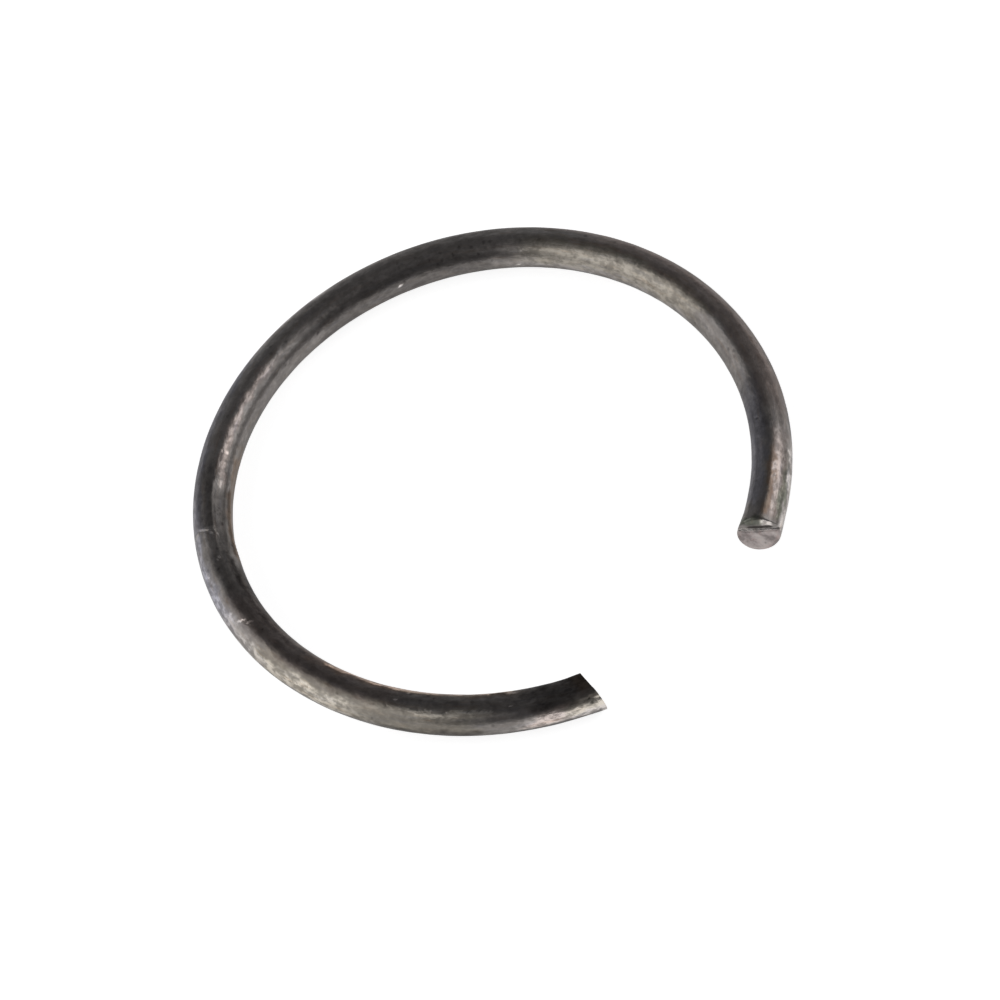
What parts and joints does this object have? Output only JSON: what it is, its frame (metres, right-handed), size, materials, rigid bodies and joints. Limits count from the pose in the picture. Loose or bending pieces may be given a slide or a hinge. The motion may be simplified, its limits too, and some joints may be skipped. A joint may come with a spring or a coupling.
{
  "type": "round-wire retaining ring",
  "caption": "Open ring bent from round spring wire, which snaps into a groove and holds a part in place along its axis.",
  "frame": {"origin": "centre of the ring, at mid-height of the wire", "axes": "+Z along the ring's axis; the gap between the two ends faces -Y; the ring is widest along X"},
  "size_m": [0.0294, 0.0289, 0.002],
  "materials": {
    "spring_wire": "dark oxidised spring steel, handled and worn"
  },
  "bodies": {
    "root": {"snap_ring": "spring_wire"}
  },
  "joints": []
}
